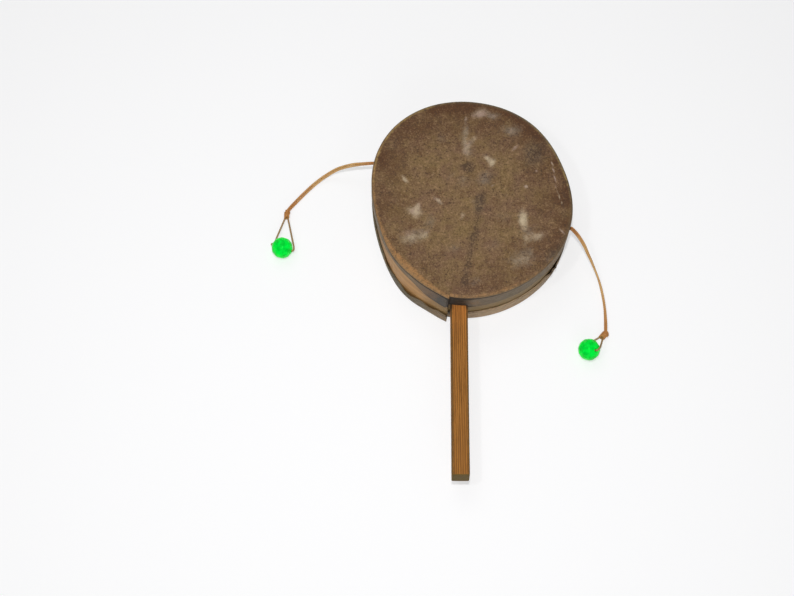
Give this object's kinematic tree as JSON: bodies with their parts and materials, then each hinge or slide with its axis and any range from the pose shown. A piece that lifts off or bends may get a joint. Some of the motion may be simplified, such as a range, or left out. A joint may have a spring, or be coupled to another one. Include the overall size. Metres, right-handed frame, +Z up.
{
  "type": "pellet drum rattle",
  "caption": "Hand-made pellet drum rattle: a bentwood hoop with a hide head on each face, a square stick handle, and a bead on a knotted cord at either side that swings to strike the heads.",
  "frame": {"origin": "under the middle of the drum, on the outer face of the back head, which lies on the table", "axes": "+Z up out of the front head, +Y along the stick away from the handle's free end, +X to the right seen from above the front head"},
  "size_m": [0.1586, 0.1776, 0.027],
  "materials": {
    "hoop_wood": "bare split wood, darkened by handling",
    "hide": "dry rawhide, mottled brown, worn pale along its edge",
    "stick_wood": "oiled softwood with strong grain",
    "steel": "plain wire brad",
    "cord": "waxed twisted twine",
    "bead": "glossy, slightly translucent"
  },
  "bodies": {
    "drum": {"hoop": "hoop_wood", "front_head": "hide", "back_head": "hide", "handle": "stick_wood", "handle_brad": "steel", "inner_cord": "cord", "left_stop_knot": "cord", "right_stop_knot": "cord"},
    "left_near": {"left_cord_near": "cord"},
    "left_far": {"left_cord_far": "cord", "left_knot": "cord", "left_loop": "cord"},
    "left_striker": {"left_bead": "bead"},
    "right_near": {"right_cord_near": "cord"},
    "right_far": {"right_cord_far": "cord", "right_knot": "cord", "right_loop": "cord"},
    "right_striker": {"right_bead": "bead"}
  },
  "joints": [
    {"name": "left_swing", "type": "hinge", "parent": "drum", "child": "left_near", "pos_m": [-0.04428, 0.02354, 0.0135], "axis": [-0.0767, 0.9971, 0], "range_deg": [-75, 90]},
    {"name": "left_fold", "type": "hinge", "parent": "left_near", "child": "left_far", "pos_m": [-0.06768, 0.02174, 0.0029], "axis": [-0.8846, 0.4664, 0], "range_deg": [-132, 97]},
    {"name": "left_bead_spin", "type": "hinge", "parent": "left_far", "child": "left_striker", "pos_m": [-0.08798, -0.01676, 0.005], "axis": [0.9505, -0.3107, 0], "continuous": true},
    {"name": "right_swing", "type": "hinge", "parent": "drum", "child": "right_near", "pos_m": [0.0471, -0.01174, 0.0135], "axis": [-0.8533, -0.5215, 0], "range_deg": [-75, 90]},
    {"name": "right_fold", "type": "hinge", "parent": "right_near", "child": "right_far", "pos_m": [0.0603, -0.03334, 0.003], "axis": [-0.9839, 0.1789, 0], "range_deg": [-128, 100]},
    {"name": "right_bead_spin", "type": "hinge", "parent": "right_far", "child": "right_striker", "pos_m": [0.0541, -0.06744, 0.005], "axis": [0.555, -0.3254, 0.7656], "continuous": true}
  ]
}
